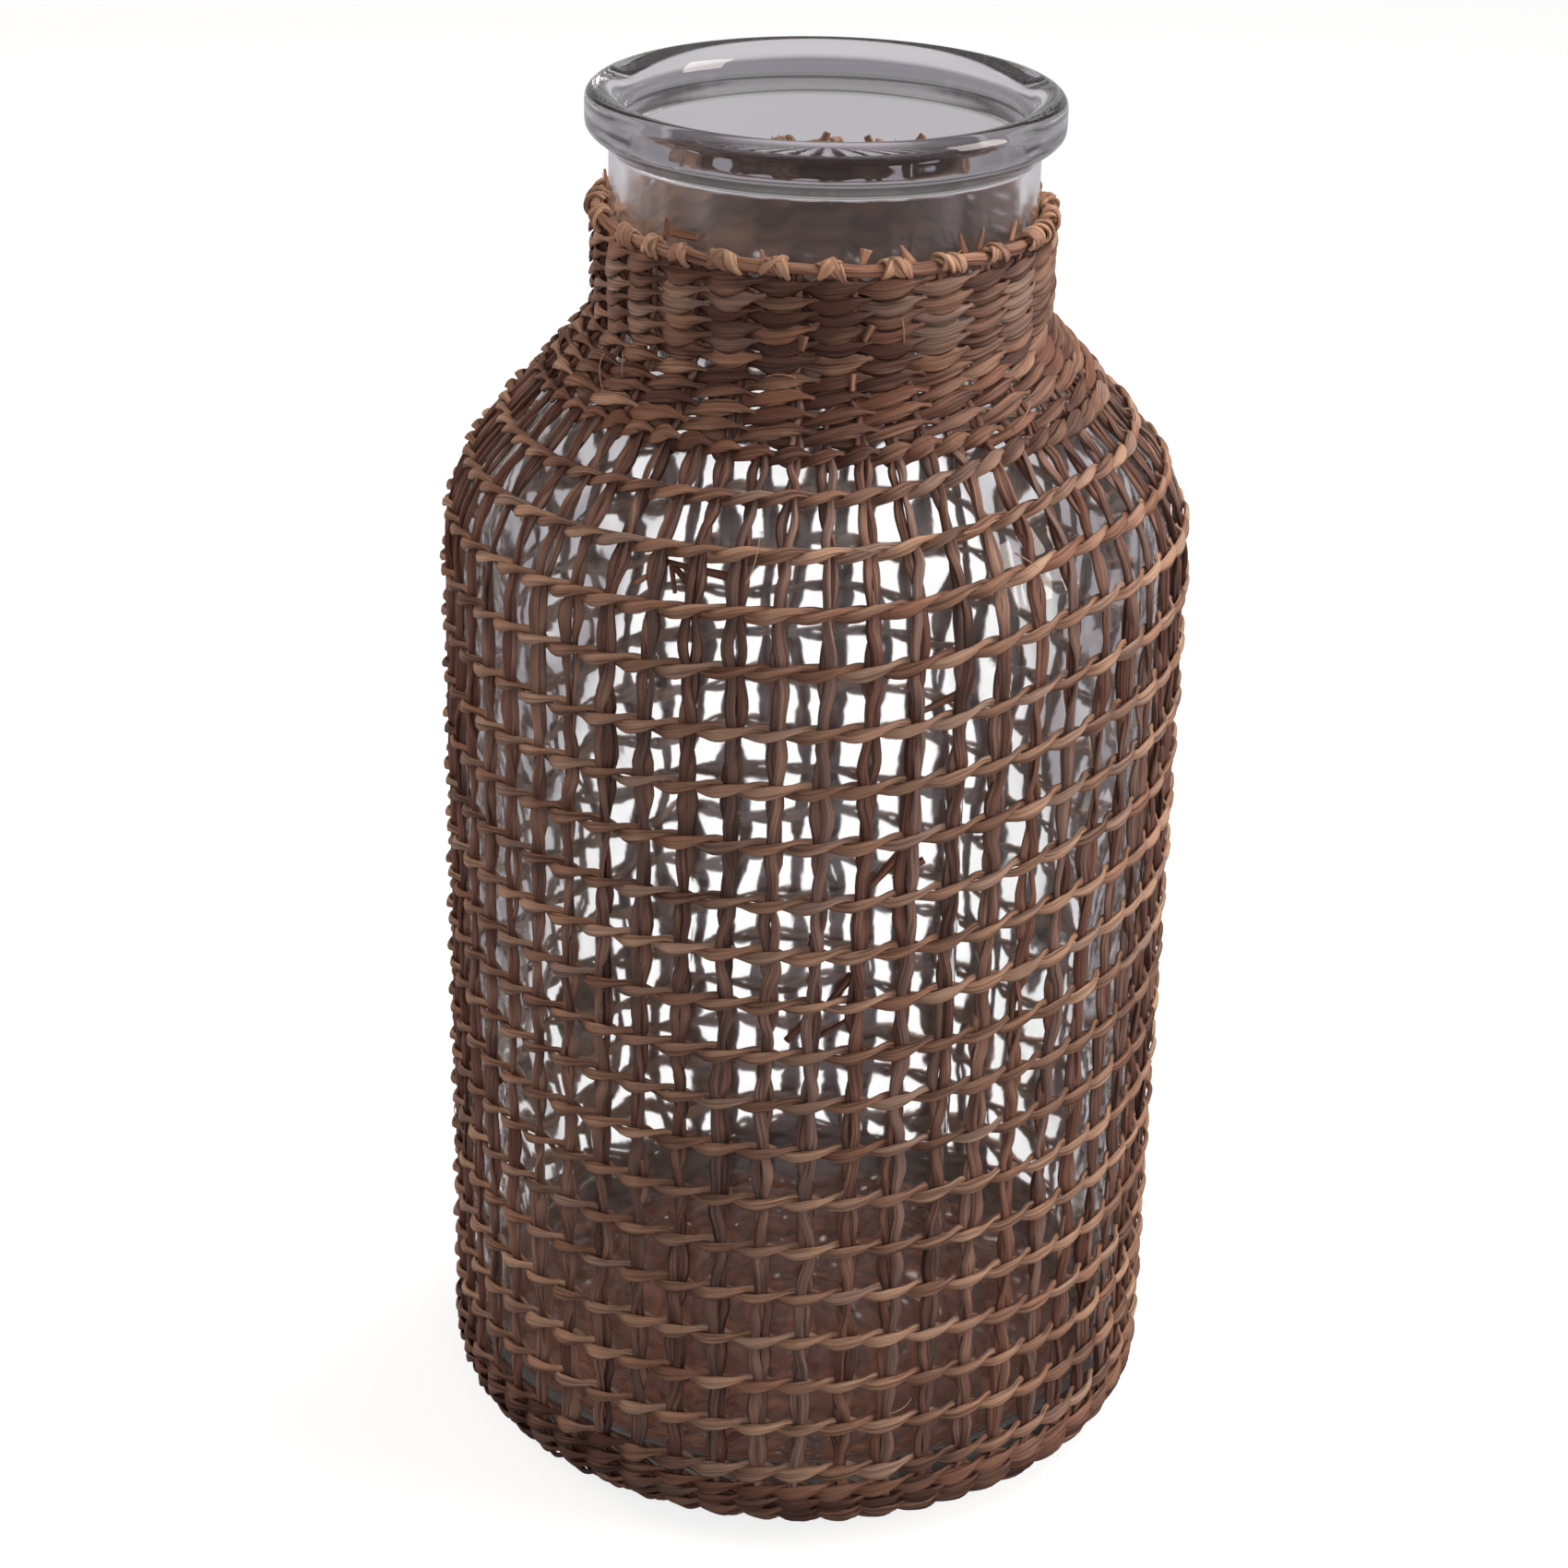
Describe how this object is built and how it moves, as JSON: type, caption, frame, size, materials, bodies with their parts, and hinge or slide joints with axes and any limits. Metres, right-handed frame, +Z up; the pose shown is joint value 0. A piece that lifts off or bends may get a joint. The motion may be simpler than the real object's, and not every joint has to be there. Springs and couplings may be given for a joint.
{
  "type": "straw-wrapped glass vase",
  "caption": "Tall wide-necked glass jar vase in a twined straw sleeve, open rows round the body and close rows at neck and base.",
  "frame": {"origin": "centre of the straw base's underside, on the surface that the vase stands on", "axes": "+Z up along the jar's axis, -Y towards the side that the picture shows, +X to its right"},
  "size_m": [0.1611, 0.1614, 0.2998],
  "materials": {
    "jar_glass": "gloss",
    "stake_straw": "matte",
    "weft_straw": "matte",
    "border_straw": "matte",
    "mat_straw": "matte"
  },
  "bodies": {
    "root": {"glass_jar": "jar_glass", "base_mat": "mat_straw", "top_border": "border_straw", "base_weft_01": "weft_straw", "base_weft_02": "weft_straw", "base_weft_03": "weft_straw", "open_weft_01": "weft_straw", "open_weft_02": "weft_straw", "open_weft_03": "weft_straw", "open_weft_04": "weft_straw", "open_weft_05": "weft_straw", "open_weft_06": "weft_straw", "open_weft_07": "weft_straw", "open_weft_08": "weft_straw", "open_weft_09": "weft_straw", "open_weft_10": "weft_straw", "open_weft_11": "weft_straw", "open_weft_12": "weft_straw", "open_weft_13": "weft_straw", "open_weft_14": "weft_straw", "open_weft_15": "weft_straw", "open_weft_16": "weft_straw", "open_weft_17": "weft_straw", "open_weft_18": "weft_straw", "open_weft_19": "weft_straw", "open_weft_20": "weft_straw", "neck_weft_01": "weft_straw", "neck_weft_02": "weft_straw", "neck_weft_03": "weft_straw", "neck_weft_04": "weft_straw", "stake_pair_01": "stake_straw", "stake_pair_02": "stake_straw", "stake_pair_03": "stake_straw", "stake_pair_04": "stake_straw", "stake_pair_05": "stake_straw", "stake_pair_06": "stake_straw", "stake_pair_07": "stake_straw", "stake_pair_08": "stake_straw", "stake_pair_09": "stake_straw", "stake_pair_10": "stake_straw", "stake_pair_11": "stake_straw", "stake_pair_12": "stake_straw", "stake_pair_13": "stake_straw", "stake_pair_14": "stake_straw", "stake_pair_15": "stake_straw", "stake_pair_16": "stake_straw", "stake_pair_17": "stake_straw", "stake_pair_18": "stake_straw", "stake_pair_19": "stake_straw", "stake_pair_20": "stake_straw", "stake_pair_21": "stake_straw", "stake_pair_22": "stake_straw", "stake_pair_23": "stake_straw", "stake_pair_24": "stake_straw", "stake_pair_25": "stake_straw", "stake_pair_26": "stake_straw", "stake_pair_27": "stake_straw"}
  },
  "joints": []
}
